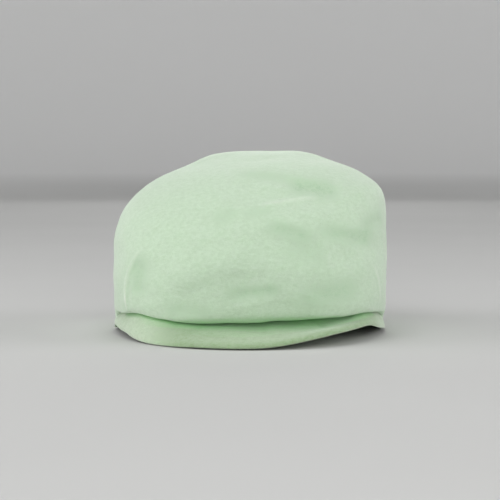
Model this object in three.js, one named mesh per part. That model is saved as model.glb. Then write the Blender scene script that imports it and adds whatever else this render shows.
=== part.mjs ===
import * as THREE from 'three';

// A soft flat cap, sewn from one large top panel, two side panels and a short stiff peak.
// Millimetres, +Z up. The cap stands on its hem at Z = 0 with the peak towards -Y, and the origin is
// the middle of the head opening. Left and right are as seen from in front of the peak.

const CLOTH_THICKNESS = 2.0; // brushed cloth wall of the crown
const SEAM_GAP = 0.4; // slit between two panels along a seam
const PEAK_THICKNESS = 4.0; // board with cloth on both sides
const PEAK_CLEARANCE = 0.3; // between the peak and the crown edge sewn onto it
const CLOTH_COLOUR = 0xb9ceb3;
const PEAK_COLOUR = 0xadc49f;

// The crown's level sections, from the hem up to the top. climb goes from 0 at the hem to 1 at the top.
// left, right, front and back are how far the section reaches, front counting towards the peak.
// The z columns are its heights there, and squareness is the oval's exponent, 2 for an ellipse.
const SECTION_COLUMNS = [
  'climb', 'left', 'right', 'front', 'back', 'zLeft', 'zRight', 'zFront', 'zBack', 'squareness',
];
const SECTIONS = {
  hem: [0.0, -94.0, 93.2, 88.0, -92.0, 0.0, 0.0, 0.0, 0.0, 2.2],
  tuck: [0.05, -94.0, 93.5, 105.0, -94.0, 9.0, 9.0, 8.6, 9.0, 2.4],
  lip: [0.1, -94.0, 93.7, 118.0, -95.5, 18.0, 18.0, 16.4, 18.0, 2.6],
  nose: [0.16, -94.2, 94.0, 121.5, -97.0, 30.0, 30.0, 31.0, 31.0, 2.6],
  wall: [0.28, -94.8, 94.9, 119.5, -97.5, 49.0, 53.0, 53.0, 52.0, 2.5],
  upper: [0.4, -94.0, 95.0, 108.0, -93.5, 69.0, 78.0, 77.0, 75.0, 2.4],
  shoulder: [0.5, -87.5, 93.0, 90.0, -85.0, 86.0, 97.0, 96.0, 93.0, 2.3],
  brow: [0.62, -72.0, 79.0, 62.0, -71.0, 101.5, 109.5, 111.0, 107.0, 2.2],
  plateau: [0.77, -47.5, 56.5, 28.0, -52.0, 113.5, 118.5, 120.0, 117.0, 2.1],
  top: [0.89, -23.5, 38.0, 2.0, -36.0, 123.4, 124.4, 124.0, 122.5, 2.0],
  apex: [1.0, 6.5, 6.5, -20.0, -20.0, 125.0, 125.0, 125.0, 125.0, 2.0],
};

// The front of the hem is arched up over the peak, and settles onto the ground at the sides.
const ARCH_RISE = 16.5;
const ARCH_LEVEL_TO = THREE.MathUtils.degToRad(60); // turn from the front up to which it is level
const ARCH_ENDS_AT = THREE.MathUtils.degToRad(88);
const LIP_CLIMB = SECTIONS.lip[0]; // the crown rolls over at this section, above the arch

// The right front corner of the peak is bent up.
const CORNER_LIFT = 8.0;
const LIFT_ACROSS = [0, 72]; // from the middle to the corner
const LIFT_FORWARD = [45, 90];

// Seam of a side panel to the top panel, from behind the peak's end up the side and round to the middle
// of the back. turn is in degrees from the front.
const SEAM_COLUMNS = ['turn', 'climb'];
const SEAM = [
  [80, 0.0],
  [80, 0.08],
  [83, 0.17],
  [89, 0.25],
  [98, 0.32],
  [110, 0.375],
  [126, 0.41],
  [145, 0.428],
  [160, 0.435],
  [170, 0.437],
  [180, 0.437],
];

// Dents (rise below 0) and ridges in the front of the crown, each a soft stroke between two places
// given across (x) and up (z), reach being how far it fades out to each side.
const FOLD_COLUMNS = ['x0', 'z0', 'x1', 'z1', 'reach', 'rise'];
const FOLDS = {
  leftDartFoot: [-86, 20, -86, 38, 7, 1.2],
  leftDartTip: [-83, 47, -72, 60, 7, 1.2],
  rightDartFoot: [86, 20, 86, 38, 7, 0.8],
  rightDartTip: [83, 47, 74, 58, 7, 0.8],
  browDent: [0, 98, 48, 95, 8, -2.6],
  browBulge: [4, 81, 42, 79, 9, 1.4],
  middleRidge: [-45, 47, -5, 57, 9, 1.6],
  middleDent: [20, 66, 38, 61, 7, -1.8],
  rightDent: [60, 57, 80, 63, 9, -2.2],
  leftCornerDent: [-70, 48, -70, 32, 7, -1.2],
  diagonalDent: [-40, 33, 2, 41, 8, -1.8],
  lowerRightDent: [48, 34, 74, 38, 8, -1.2],
  lipDent: [-12, 25, 24, 28, 5.5, -1.2],
  lipSag: [-48, 16, 4, 16, 8, 1.2],
};
const FOLDS_START = [20, 60]; // forward of here the folds come in

// The peak follows the hem round the front and is tucked a little way under it.
const PEAK_END = THREE.MathUtils.degToRad(76); // turn of its two ends
const PEAK_REACH = 54.0; // in front of the hem, in the middle
const PEAK_END_REACH = 1.0; // and at its ends
const PEAK_TAPER = 2.0; // how fast it narrows towards the ends
const PEAK_TUCK = 6.0; // under the crown, behind the hem, in the middle
const PEAK_END_TUCK = 2.0; // and at its ends
const PEAK_EDGE_TOP = 4.0; // height of its upper face along the front edge
const PEAK_MERGES_AT = THREE.MathUtils.degToRad(20); // turn from which its edge rises to its ends
const PEAK_CAMBER = 4.0; // at its sides it stays high and then rolls down, 1 being a straight slope
const PEAK_CAMBER_GROWS = [THREE.MathUtils.degToRad(10), THREE.MathUtils.degToRad(45)];
const PEAK_CAMBER_FADES = [THREE.MathUtils.degToRad(45), THREE.MathUtils.degToRad(65)];

// Facets. The seam is cut into steps that the panels on both sides of it share.
const SEAM_STEPS = 54;
const SEAM_CROWDING = 1.25; // the steps are closer together at the hem, where the lip rolls over
const CORNER_STEP = 11; // the side panel's front edge ends here and its top edge starts
const BACK_STEP = 32; // the top panel's side edge ends here and its back edge starts
const PEAK_COLUMNS = 40;
const PEAK_ROWS = 8;
const NORMAL_STEP = 1e-3; // of the crown's chart, for its slopes

const { clamp, lerp, smoothstep, degToRad } = THREE.MathUtils;

// A row of a table as an object with the columns' names.
function named(columns, row) {
  return Object.fromEntries(columns.map((column, i) => [column, row[i]]));
}

// Smooth curves through the sections, carried over the top by one mirrored section past the apex.
function sectionProfile() {
  const sections = Object.values(SECTIONS).map((row) => named(SECTION_COLUMNS, row));
  const beforeApex = sections.at(-2);
  sections.push({
    climb: 2 * sections.at(-1).climb - beforeApex.climb,
    left: beforeApex.right,
    right: beforeApex.left,
    front: beforeApex.back,
    back: beforeApex.front,
    zLeft: beforeApex.zRight,
    zRight: beforeApex.zLeft,
    zFront: beforeApex.zBack,
    zBack: beforeApex.zFront,
    squareness: beforeApex.squareness,
  });
  const climbs = sections.map((section) => section.climb);
  const columns = SECTION_COLUMNS.slice(1);
  const values = sections.flatMap((section) => columns.map((column) => section[column]));
  const curve = new THREE.CubicInterpolant(climbs, values, columns.length);
  return (climb) => named(columns, curve.evaluate(climb));
}

const sectionAt = sectionProfile();

// The point of a section at a turn from the front, as x across, forward and z.
function sectionPoint(section, turn) {
  const sine = Math.sin(turn);
  const cosine = Math.cos(turn);
  const halfWidth = Math.max((section.right - section.left) / 2, 1e-6);
  const halfLength = Math.max((section.front - section.back) / 2, 1e-6);
  const power = section.squareness;
  const oval = Math.abs(sine / halfWidth) ** power + Math.abs(cosine / halfLength) ** power;
  const radius = oval ** (-1 / power);
  const sides = (section.zLeft + section.zRight) / 2;
  const ends = (section.zFront + section.zBack) / 2;
  const sideTilt = (section.zRight - section.zLeft) / 2;
  const endTilt = (section.zFront - section.zBack) / 2;
  return {
    x: (section.left + section.right) / 2 + radius * sine,
    forward: (section.front + section.back) / 2 + radius * cosine,
    z: (sides + ends) / 2 + sideTilt * sine + endTilt * cosine - ((sides - ends) / 2) * Math.cos(2 * turn),
  };
}

function archRise(turn) {
  return ARCH_RISE * (1 - smoothstep(Math.abs(turn), ARCH_LEVEL_TO, ARCH_ENDS_AT));
}

function cornerLift(x, forward) {
  return CORNER_LIFT * smoothstep(x, ...LIFT_ACROSS) * smoothstep(forward, ...LIFT_FORWARD);
}

// The crown before its folds. Its chart is a disc of radius 1, the hem being the rim and the apex the
// middle, with across to the right and along towards the peak.
function smoothCrown(across, along) {
  const climb = clamp(1 - Math.hypot(across, along), 0, 1);
  const turn = Math.atan2(across, along);
  const { x, forward, z } = sectionPoint(sectionAt(climb), turn);
  const arched = archRise(turn) * Math.max(1 - climb / LIP_CLIMB, 0);
  return new THREE.Vector3(x, -forward, Math.max(z + arched, 0));
}

function crownNormal(across, along) {
  const right = smoothCrown(across + NORMAL_STEP, along).sub(smoothCrown(across - NORMAL_STEP, along));
  const front = smoothCrown(across, along + NORMAL_STEP).sub(smoothCrown(across, along - NORMAL_STEP));
  return front.cross(right).normalize();
}

const folds = Object.values(FOLDS).map((row) => named(FOLD_COLUMNS, row));

// How far the folds raise the crown at a point of its smooth form.
function foldRise(point) {
  const place = new THREE.Vector3(point.x, 0, point.z);
  let rise = 0;
  for (const fold of folds) {
    const stroke = new THREE.Line3(
      new THREE.Vector3(fold.x0, 0, fold.z0),
      new THREE.Vector3(fold.x1, 0, fold.z1),
    );
    const nearest = stroke.closestPointToPoint(place, true, new THREE.Vector3());
    rise += fold.rise * Math.exp(-((nearest.distanceTo(place) / fold.reach) ** 2));
  }
  return rise * smoothstep(-point.y, ...FOLDS_START);
}

// Outer and inner face of the crown's cloth at a place of the chart. The folds fade out at the hem.
function crownWall({ x: across, y: along }) {
  const normal = crownNormal(across, along);
  const outer = smoothCrown(across, along);
  const offHem = smoothstep(1 - Math.hypot(across, along), 0, LIP_CLIMB);
  outer.addScaledVector(normal, foldRise(outer) * offHem);
  const inner = outer.clone().addScaledVector(normal, -CLOTH_THICKNESS);
  return { outer, inner };
}

// A closed wall between two grids of points, given as columns of rows, outer face out.
function wallGeometry(outer, inner) {
  const columns = outer.length - 1;
  const rows = outer[0].length - 1;
  const layer = (columns + 1) * (rows + 1);
  const indices = [];
  const at = (face, column, row) => face * layer + column * (rows + 1) + row;
  const quad = (a, b, c, d) => indices.push(a, b, c, a, c, d);
  for (let i = 0; i < columns; i++) {
    for (let j = 0; j < rows; j++) {
      quad(at(0, i, j), at(0, i + 1, j), at(0, i + 1, j + 1), at(0, i, j + 1));
      quad(at(1, i, j), at(1, i, j + 1), at(1, i + 1, j + 1), at(1, i + 1, j));
    }
    quad(at(0, i, 0), at(1, i, 0), at(1, i + 1, 0), at(0, i + 1, 0));
    quad(at(0, i, rows), at(0, i + 1, rows), at(1, i + 1, rows), at(1, i, rows));
  }
  for (let j = 0; j < rows; j++) {
    quad(at(0, 0, j), at(0, 0, j + 1), at(1, 0, j + 1), at(1, 0, j));
    quad(at(0, columns, j), at(1, columns, j), at(1, columns, j + 1), at(0, columns, j + 1));
  }
  const geometry = new THREE.BufferGeometry().setFromPoints([...outer.flat(), ...inner.flat()]);
  geometry.setIndex(indices);
  return geometry;
}

// A patch of the chart filled in between four edges, each an array of chart places: bottom and top run
// along the columns, start and end along the rows, which are crowded towards the bottom.
function coonsPatch(bottom, top, start, end) {
  const columns = bottom.length - 1;
  const rows = start.length - 1;
  const grid = [];
  for (let i = 0; i <= columns; i++) {
    const u = i / columns;
    grid.push([]);
    for (let j = 0; j <= rows; j++) {
      const v = (j / rows) ** SEAM_CROWDING;
      const place = new THREE.Vector2();
      place.addScaledVector(bottom[i], 1 - v).addScaledVector(top[i], v);
      place.addScaledVector(start[j], 1 - u).addScaledVector(end[j], u);
      place.addScaledVector(bottom[0], -(1 - u) * (1 - v)).addScaledVector(bottom[columns], -u * (1 - v));
      place.addScaledVector(top[0], -(1 - u) * v).addScaledVector(top[columns], -u * v);
      grid[i].push(place);
    }
  }
  return grid;
}

// Draws a sewn edge back from its seam by half the gap, both faces alike.
function drawIn(edge, neighbour) {
  const step = neighbour.outer.clone().sub(edge.outer).setLength(SEAM_GAP / 2);
  edge.outer.add(step);
  edge.inner.add(step);
}

// A panel's walls from its places on the chart, drawn in along the edges that are sewn to another panel.
function panelGeometry(patch, sewn) {
  const walls = patch.map((column) => column.map(crownWall));
  const lastColumn = walls.length - 1;
  const lastRow = walls[0].length - 1;
  if (sewn.bottom) walls.forEach((column) => drawIn(column[0], column[1]));
  if (sewn.top) walls.forEach((column) => drawIn(column[lastRow], column[lastRow - 1]));
  if (sewn.start) walls[0].forEach((wall, j) => drawIn(wall, walls[1][j]));
  if (sewn.end) walls[lastColumn].forEach((wall, j) => drawIn(wall, walls[lastColumn - 1][j]));
  if (!sewn.bottom) levelHem(walls);
  return wallGeometry(
    walls.map((column) => column.map((wall) => wall.outer)),
    walls.map((column) => column.map((wall) => wall.inner)),
  );
}

// The cut edge of the hem is level where the wall stands upright.
function levelHem(walls) {
  for (const [hem] of walls) {
    const upright = Math.abs(hem.inner.z - hem.outer.z) < CLOTH_THICKNESS / 2;
    if (upright) hem.inner.z = hem.outer.z;
  }
}

function chartPlace(turn, climb) {
  return new THREE.Vector2(Math.sin(turn), Math.cos(turn)).multiplyScalar(1 - climb);
}

// The seam's shared steps on the chart, on the right side or mirrored for the left.
function seamSteps(side) {
  const places = SEAM.map((row) => named(SEAM_COLUMNS, row)).map(({ turn, climb }) => {
    return chartPlace(side * degToRad(turn), climb);
  });
  const curve = new THREE.SplineCurve(places);
  const steps = [];
  for (let k = 0; k <= SEAM_STEPS; k++) {
    steps.push(curve.getPointAt((k / SEAM_STEPS) ** SEAM_CROWDING));
  }
  return steps;
}

function hemArc(fromTurn, toTurn, columns) {
  const places = [];
  for (let i = 0; i <= columns; i++) {
    places.push(chartPlace(lerp(fromTurn, toTurn, i / columns), 0));
  }
  return places;
}

const SEAM_FOOT = degToRad(SEAM[0][0]);

function topPanelGeometry() {
  const left = seamSteps(-1);
  const right = seamSteps(1);
  const backLeft = left.slice(BACK_STEP);
  const backRight = right.slice(BACK_STEP, -1).reverse();
  const back = [...backLeft, ...backRight];
  const front = hemArc(-SEAM_FOOT, SEAM_FOOT, back.length - 1);
  const patch = coonsPatch(front, back, left.slice(0, BACK_STEP + 1), right.slice(0, BACK_STEP + 1));
  return panelGeometry(patch, { top: true, start: true, end: true });
}

// The panel from behind the peak's end to the middle of the back. Its columns run to the right.
function sidePanelGeometry(side) {
  const seam = seamSteps(side);
  const frontEdge = seam.slice(0, CORNER_STEP + 1);
  const topEdge = seam.slice(CORNER_STEP);
  const hem = hemArc(side * SEAM_FOOT, side * Math.PI, topEdge.length - 1);
  const foot = hem.at(-1);
  const head = topEdge.at(-1);
  const backEdge = frontEdge.map((_, j) => foot.clone().lerp(head, (j / CORNER_STEP) ** SEAM_CROWDING));
  if (side > 0) {
    const patch = coonsPatch(hem, topEdge, frontEdge, backEdge);
    return panelGeometry(patch, { top: true, start: true, end: true });
  }
  const patch = coonsPatch(hem.reverse(), topEdge.reverse(), backEdge, frontEdge);
  return panelGeometry(patch, { top: true, start: true, end: true });
}

// The peak's upper face at a turn from the front, share going from 0 at its inner edge to 1 at its outer one.
function peakTop(turn, share) {
  const hem = sectionPoint(sectionAt(0), turn);
  const middle = Math.max(Math.cos((turn / PEAK_END) * (Math.PI / 2)), 0);
  const reach = lerp(PEAK_END_REACH, PEAK_REACH, middle ** PEAK_TAPER);
  const tuck = lerp(PEAK_END_TUCK, PEAK_TUCK, Math.sqrt(middle));
  const out = lerp(-tuck, reach, share);
  const stretch = 1 + out / Math.hypot(hem.x, hem.forward);
  const x = hem.x * stretch;
  const forward = hem.forward * stretch;
  const sewnTop = archRise(turn) - PEAK_CLEARANCE;
  const restingEdge = lerp(PEAK_EDGE_TOP, sewnTop, smoothstep(Math.abs(turn), PEAK_MERGES_AT, PEAK_END));
  const edgeTop = Math.min(restingEdge + cornerLift(x, forward), sewnTop);
  const grown = smoothstep(Math.abs(turn), ...PEAK_CAMBER_GROWS);
  const faded = smoothstep(Math.abs(turn), ...PEAK_CAMBER_FADES);
  const camber = lerp(1, PEAK_CAMBER, grown * (1 - faded));
  const z = lerp(sewnTop, edgeTop, clamp(out / reach, 0, 1) ** camber);
  return new THREE.Vector3(x, -forward, z);
}

function peakGeometry() {
  const top = [];
  for (let i = 0; i <= PEAK_COLUMNS; i++) {
    const turn = lerp(PEAK_END, -PEAK_END, i / PEAK_COLUMNS);
    top.push([]);
    for (let j = 0; j <= PEAK_ROWS; j++) {
      top[i].push(peakTop(turn, j / PEAK_ROWS));
    }
  }
  const thickness = new THREE.Vector3(0, 0, PEAK_THICKNESS);
  const underside = top.map((column) => column.map((point) => point.clone().sub(thickness)));
  return wallGeometry(top, underside);
}

function piece(name, geometry, color) {
  const mesh = new THREE.Mesh(geometry, new THREE.MeshStandardMaterial({ color, roughness: 0.95 }));
  mesh.name = name;
  return mesh;
}

const cap = new THREE.Group();
cap.add(piece('top_panel', topPanelGeometry(), CLOTH_COLOUR));
cap.add(piece('side_panel_left', sidePanelGeometry(-1), CLOTH_COLOUR));
cap.add(piece('side_panel_right', sidePanelGeometry(1), CLOTH_COLOUR));
cap.add(piece('peak', peakGeometry(), PEAK_COLOUR));

export default cap;
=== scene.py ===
# %% [markdown]
# # A soft flat cap in brushed mint cloth
# The cap is sewn from four pieces: a large top panel, two side panels that meet in the middle of the
# back, and a short stiff peak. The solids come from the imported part, and this lesson dresses them: it
# redraws the cloth finely, lets it fold, sews the seams, brushes up the nap and lights the cap for its
# picture. Everything is in metres, Z is up, and the peak points towards -Y.

# %% Load the frame
import math

import bmesh
import bpy
import numpy as np
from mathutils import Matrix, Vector, noise
from mathutils.bvhtree import BVHTree


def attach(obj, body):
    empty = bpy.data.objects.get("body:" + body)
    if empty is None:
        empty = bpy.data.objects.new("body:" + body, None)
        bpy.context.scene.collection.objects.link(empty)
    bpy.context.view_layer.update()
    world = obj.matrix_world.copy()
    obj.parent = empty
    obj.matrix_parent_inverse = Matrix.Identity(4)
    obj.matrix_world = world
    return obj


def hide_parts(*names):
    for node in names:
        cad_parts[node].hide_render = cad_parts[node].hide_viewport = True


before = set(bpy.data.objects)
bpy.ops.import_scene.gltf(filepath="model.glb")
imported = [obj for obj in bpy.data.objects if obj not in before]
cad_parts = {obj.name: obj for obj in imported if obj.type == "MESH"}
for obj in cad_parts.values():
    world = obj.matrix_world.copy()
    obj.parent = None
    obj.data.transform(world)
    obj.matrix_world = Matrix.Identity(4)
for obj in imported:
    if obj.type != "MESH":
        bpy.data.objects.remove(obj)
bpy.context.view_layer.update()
MM = 0.001

# %% [markdown]
# ## Unrolling a panel
# A panel's solid is a wall of flat facets, which is enough to collide with and too coarse to look at. Its
# outer face is a net of rows and columns, so it can be unrolled into one table of points. The panel could
# be modelled a second time instead, but then two shapes would have to be kept alike. The outer face is
# found by starting at the facet that looks most squarely away from the head and never turning a sharp
# edge.

# %% Find the outer face of a solid
WELD = 0.01 * MM
SHARP = math.radians(60)
CORE = Vector((0.0, -0.005, 0.05))


def welded(node):
    """A copy of a solid whose facets share their corners."""
    solid = bmesh.new()
    solid.from_mesh(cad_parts[node].data)
    solid.transform(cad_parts[node].matrix_world)
    bmesh.ops.remove_doubles(solid, verts=solid.verts, dist=WELD)
    return solid


def outer_facets(solid):
    """The facets of a wall that look away from the head."""
    def squareness(facet):
        return facet.normal.dot((facet.calc_center_median() - CORE).normalized())

    waiting = [max(solid.faces, key=squareness)]
    found = set(waiting)
    while waiting:
        facet = waiting.pop()
        for edge in facet.edges:
            for other in edge.link_faces:
                if other not in found and facet.normal.angle(other.normal, 0.0) < SHARP:
                    found.add(other)
                    waiting.append(other)
    return found


print("an edge over", round(math.degrees(SHARP)), "degrees ends the outer face")

# %% [markdown]
# The first row of a net is the hem: the stretch of the rim between its two lowest corners. Two neighbours
# in a row belong to a facet whose third corner lies one row higher. Those corners make the next row, all
# but the point at one end, which is found on the rim. Reading the rows off the facets this way needs no
# list of numbers from elsewhere, so the net follows the solid when the solid changes.

# %% Unroll the three panels of the crown
PANELS = {
    "top_panel": "crown_top",
    "side_panel_left": "crown_side_left",
    "side_panel_right": "crown_side_right",
}


def rim_of(outer):
    """The points on the rim of some facets, each with its two neighbours along the rim."""
    rim = {}
    for edge in {e for facet in outer for e in facet.edges}:
        if sum(f in outer for f in edge.link_faces) == 1:
            a, b = edge.verts
            rim.setdefault(a, []).append(b)
            rim.setdefault(b, []).append(a)
    return rim


def rim_walk(rim, corners, start, step):
    """The points along a rim from one corner to the next."""
    path = [start, step]
    while path[-1] not in corners:
        path.append(next(v for v in rim[path[-1]] if v != path[-2]))
    return path


def hem_row(outer, rim):
    """The lowest row of points, from one lower corner to the other."""
    # A corner of the net belongs to one or two facets, and any other point of the rim to three.
    corners = {v for v in rim if sum(f in outer for f in v.link_faces) <= 2}
    start, end = sorted(sorted(corners, key=lambda v: v.co.z)[:2], key=lambda v: v.co.x)
    walks = [rim_walk(rim, corners, start, step) for step in rim[start]]
    return next(path for path in walks if path[-1] == end)


def row_above(row, below, outer, rim):
    """The next row of points, or no points above the last row."""
    tips = []
    for a, b in zip(row, row[1:]):
        facet_corners = [v for f in a.link_faces if f in outer and b in f.verts for v in f.verts]
        tips += [v for v in facet_corners if v not in below][:1]
    if len(tips) < len(row) - 1:
        return []
    if tips[0] in rim[row[0]]:
        return tips + [next(v for v in rim[row[-1]] if v not in below)]
    return [next(v for v in rim[row[0]] if v not in below)] + tips


def net_normals(net):
    """The outward directions of the cloth at every point of a net."""
    out = np.cross(np.gradient(net, axis=1), np.gradient(net, axis=0))
    out[[0, 0, -1, -1], [0, -1, 0, -1]] = out[[1, 1, -2, -2], [1, -2, 1, -2]]
    return out / np.linalg.norm(out, axis=2, keepdims=True)


def unrolled(node):
    """A panel's outer face as an array of rows of points, the hem first."""
    solid = welded(node)
    solid.normal_update()
    outer = outer_facets(solid)
    rim = rim_of(outer)
    rows, below = [], set()
    row = hem_row(outer, rim)
    while row:
        rows.append(row)
        below |= set(row)
        row = row_above(row, below, outer, rim)
    net = np.array([[tuple(v.co) for v in row] for row in rows])
    solid.free()
    facing = (net_normals(net) * (net - np.array(CORE))).sum()
    return net if facing > 0 else net[:, ::-1]


coarse = {node: unrolled(node) for node in PANELS}
for node, net in coarse.items():
    print(node, "unrolls into", net.shape[0], "rows of", net.shape[1], "points")

# %% [markdown]
# ## Redrawing the cloth finely
# Smooth curves through the rows and columns give as many points as are wanted, wherever they are wanted.
# Subdivision would add the same number everywhere. Here the full front of the crown, which carries the
# folds, and the two darts at its corners get the most. A row of the tables gives the steps from one facet
# to the next, few or many, and the stretches that get many, as shares of the whole. A last row is kept
# apart along each edge for the round of the cut cloth.

# %% Redraw each panel with smooth curves
CLOTH = 2.0 * MM
FINENESS_COLUMNS = ("few", "many", "between")
ROW_FINENESS = {
    "top_panel": (4, 7, ((0.17, 0.53),)),
    "side_panel_left": (5, 5, ()),
    "side_panel_right": (5, 5, ()),
}
COLUMN_FINENESS = {
    "top_panel": (5, 9, ((0.12, 0.26), (0.74, 0.88))),
    "side_panel_left": (4, 4, ()),
    "side_panel_right": (4, 4, ()),
}


def curve_through(points, places):
    """Points of a smooth curve through given points; places count along them from 0."""
    line = np.concatenate([2 * points[:1] - points[1:2], points, 2 * points[-1:] - points[-2:-1]])
    k = np.clip(places.astype(int), 0, len(points) - 2)
    t = (places - k).reshape(-1, 1, 1)
    a, b, c, d = (line[k + i] for i in range(4))
    return b + 0.5 * t * (c - a + t * (2 * a - 5 * b + 4 * c - d + t * (3 * (b - c) + d - a)))


def finer_places(net, few, many, between):
    """Places along a net's rows: more of them in the given stretches, and one row apart at each edge."""
    facets = len(net) - 1
    places = []
    for k in range(facets):
        closer = any(start < (k + 0.5) / facets < end for start, end in between)
        steps = many if closer else few
        places += [k + i / steps for i in range(steps)]
    width = np.linalg.norm(np.diff(net, axis=0), axis=2).mean(axis=1)
    first, last = CLOTH / 2 / width[0], CLOTH / 2 / width[-1]
    inner = first + np.array(places + [facets]) * (facets - first - last) / facets
    return np.concatenate([[0.0], inner, [facets]])


def redrawn(node):
    """A panel's net with curves through its rows and then through its columns."""
    net = coarse[node]
    rows = finer_places(net, **dict(zip(FINENESS_COLUMNS, ROW_FINENESS[node])))
    columns = finer_places(net.swapaxes(0, 1), **dict(zip(FINENESS_COLUMNS, COLUMN_FINENESS[node])))
    return curve_through(curve_through(net, rows).swapaxes(0, 1), columns).swapaxes(0, 1)


fine = {node: redrawn(node) for node in PANELS}
for node, net in fine.items():
    print(node, "is redrawn as", net.shape[0], "rows of", net.shape[1], "points")

# %% [markdown]
# At four corners a seam runs straight on, so two edges of a net meet in one line and the points between
# them crowd together. There every point is moved to the middle of its four neighbours, many times over,
# and laid back on the cloth. Fewer points at the corners would also do, but then the seam would be coarse.

# %% Spread the crowded corners
CROWDED_STEPS = 16
CROWDED_ROUNDS = 120


def net_quads(rows, columns):
    """The corner numbers of every facet of a net."""
    number = np.arange(rows * columns).reshape(rows, columns)
    return np.stack([number[:-1, :-1], number[:-1, 1:], number[1:, 1:], number[1:, :-1]], -1).reshape(-1, 4)


def tree_of(parts):
    """Something that rays can hit, from pairs of points and faces."""
    points, faces = [], []
    for part_points, part_faces in parts:
        faces += [[len(points) + corner for corner in face] for face in part_faces]
        points += part_points.tolist()
    return BVHTree.FromPolygons(points, faces)


def net_tree(nets):
    return tree_of((net.reshape(-1, 3), net_quads(*net.shape[:2]).tolist()) for net in nets)


def spread_corner(net, tree):
    """Spreads the points near the first corner of a net; the net itself changes."""
    patch = net[:CROWDED_STEPS, :CROWDED_STEPS]
    for _ in range(CROWDED_ROUNDS):
        sides = patch[:-2, 1:-1] + patch[2:, 1:-1] + patch[1:-1, :-2] + patch[1:-1, 2:]
        patch[1:-1, 1:-1] = sides / 4
    for place in np.ndindex(CROWDED_STEPS - 2, CROWDED_STEPS - 2):
        r, c = place[0] + 1, place[1] + 1
        patch[r, c] = tree.find_nearest(Vector(patch[r, c]))[0]


crowded = {
    "top_panel": (fine["top_panel"][::-1], fine["top_panel"][::-1, ::-1]),
    "side_panel_left": (fine["side_panel_left"][::-1, ::-1],),
    "side_panel_right": (fine["side_panel_right"][::-1],),
}
for node, corners in crowded.items():
    cloth_tree = net_tree([fine[node]])
    for corner in corners:
        spread_corner(corner, cloth_tree)
print(sum(len(corners) for corners in crowded.values()), "corners spread")

# %% [markdown]
# ## Lines drawn on the cloth
# Folds, darts and seams are all lines on the crown. They could be carved with a sculpting brush, but a line
# that is written down can be moved later by changing a number. A line is written as it is seen from one
# side of the cap, in millimetres, and is then laid on the cloth by looking along straight rays. What a
# line does to the cloth depends only on how far away each point is, so one measuring helper serves them
# all.

# %% Lay lines on the cloth
EYE_AWAY = 0.4
LOOKS = {
    "front": ((0, -EYE_AWAY, 0), (1, 0, 0), (0, 0, 1)),
    "back": ((0, EYE_AWAY, 0), (1, 0, 0), (0, 0, 1)),
    "left": ((-EYE_AWAY, 0, 0), (0, 1, 0), (0, 0, 1)),
    "right": ((EYE_AWAY, 0, 0), (0, 1, 0), (0, 0, 1)),
    "top": ((0, 0, EYE_AWAY), (1, 0, 0), (0, 1, 0)),
}
LINE_STEPS = 8
FAR_OFF = 1.0

crown_tree = net_tree(coarse.values())


def drawn_line(look, corners):
    """A line laid on the crown: its corners are millimetres across and up as seen from one side."""
    eye, across, up = (Vector(v) for v in LOOKS[look])
    places = np.linspace(0, len(corners) - 1, LINE_STEPS * (len(corners) - 1) + 1)
    flat = curve_through(np.array(corners, float)[:, None, :], places)[:, 0] * MM
    hits = [crown_tree.ray_cast(eye + a * across + b * up, -eye.normalized())[0] for a, b in flat.tolist()]
    return np.array([tuple(hit) for hit in hits if hit])


def line_length(line):
    return np.linalg.norm(np.diff(line, axis=0), axis=1).sum()


def measured_from(line, points, near):
    """How far points lie from a line, and how far along it; points that aren't near count as far off."""
    flat = points.reshape(-1, 3)
    beside = np.all((flat > line.min(0) - near) & (flat < line.max(0) + near), axis=1)
    close = flat[beside]
    apart = np.full(len(close), np.inf)
    along = np.zeros(len(close))
    gone = 0.0
    for a, b in zip(line[:-1], line[1:]):
        leg = b - a
        length = np.linalg.norm(leg)
        if length == 0:
            continue
        share = np.clip((close - a) @ leg / length ** 2, 0, 1)
        distance = np.linalg.norm(close - a - share[:, None] * leg, axis=1)
        better = distance < apart
        apart[better] = distance[better]
        along[better] = gone + share[better] * length
        gone += length
    all_apart, all_along = np.full(len(flat), FAR_OFF), np.zeros(len(flat))
    all_apart[beside], all_along[beside] = apart, along / gone
    return all_apart.reshape(points.shape[:2]), all_along.reshape(points.shape[:2])


print("lines are drawn as seen from:", *LOOKS)

# %% [markdown]
# ## Folds
# The crown is soft and a little too large for the peak that carries it, so it sags and breaks into low
# folds, most of them across the front. The solid already has the large ones. Here come the finer ones: a
# row gives the side it is seen from, its two ends, how far it reaches to either side, and how far it
# rises, or sinks where that is negative. A simulation of the cloth would fold somewhere else each time,
# so the folds are drawn where they are wanted.

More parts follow.
